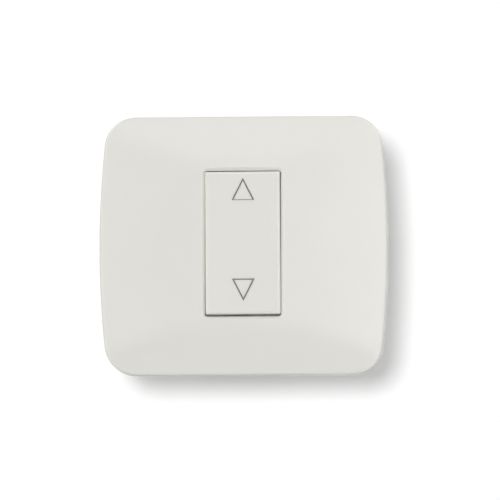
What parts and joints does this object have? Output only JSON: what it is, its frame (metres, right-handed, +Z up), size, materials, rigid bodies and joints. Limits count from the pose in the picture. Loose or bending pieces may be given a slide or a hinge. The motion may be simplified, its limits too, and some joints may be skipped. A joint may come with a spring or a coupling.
{
  "type": "roller shutter switch",
  "caption": "Flush wall switch for a roller shutter: cushion-shaped cover plate with one sprung centre-off rocker key marked up and down, on a frame with a switch module behind.",
  "frame": {"origin": "on the wall plane, midway between the two box screws, behind the centre of the cover plate", "axes": "+Z up, -Y out of the wall towards the user, +Y into the wall box, +X to the user's right"},
  "size_m": [0.091, 0.0312, 0.082],
  "materials": {
    "glossy_cover": "warm white moulded plastic, polished",
    "glossy_key": "warm white moulded plastic, polished, with two printed triangles",
    "frame_plastic": "light grey moulded plastic, fine matte",
    "module_plastic": "white moulded plastic, satin",
    "housing_plastic": "dark grey moulded plastic, fine matte",
    "carrier_plastic": "white moulded plastic, satin",
    "acetal": "natural acetal, smooth",
    "brass": "stamped brass strip",
    "terminal_brass": "sawn and drilled brass bar",
    "silver_contact": "silver alloy rivet",
    "zinc_steel": "zinc-plated steel",
    "spring_steel": "drawn spring wire"
  },
  "bodies": {
    "root": {"cover_plate": "glossy_cover", "mounting_frame": "frame_plastic", "box_screw_left": "zinc_steel", "box_screw_right": "zinc_steel", "mechanism_frame": "module_plastic", "mechanism_housing": "housing_plastic", "common_strip": "brass", "down_strip": "brass", "up_strip": "brass", "fixed_contact_down": "silver_contact", "fixed_contact_up": "silver_contact", "terminal_down": "terminal_brass", "terminal_up": "terminal_brass", "terminal_common_top": "terminal_brass", "terminal_common_bottom": "terminal_brass", "terminal_screw_down": "zinc_steel", "terminal_screw_up": "zinc_steel", "terminal_screw_common_top": "zinc_steel", "terminal_screw_common_bottom": "zinc_steel"},
    "key": {"key_cap": "glossy_key", "key_carrier": "carrier_plastic", "plunger_spring": "spring_steel"},
    "plunger": {"plunger": "acetal"},
    "contact": {"contact_rocker": "brass", "moving_contact_down": "silver_contact", "moving_contact_up": "silver_contact"}
  },
  "joints": [
    {"name": "key_tilt", "type": "hinge", "parent": "root", "child": "key", "pos_m": [0, -0.00485, 0], "axis": [1, 0, 0], "range_deg": [-3.5, 3.5], "stiffness_Nm_per_rad": 0.4},
    {"name": "contact_tilt", "type": "hinge", "parent": "root", "child": "contact", "pos_m": [0, 0.0092, 0], "axis": [1, 0, 0], "range_deg": [-7, 7]},
    {"name": "plunger_slide", "type": "slide", "parent": "key", "child": "plunger", "axis": [0, -1, 0], "range_m": [0, 0.0008], "stiffness_N_per_m": 500, "springref_m": -0.001, "deforming": ["plunger_spring"]}
  ],
  "couplings": [
    {"joint": "contact_tilt", "follows": "key_tilt", "ratio": -2}
  ]
}
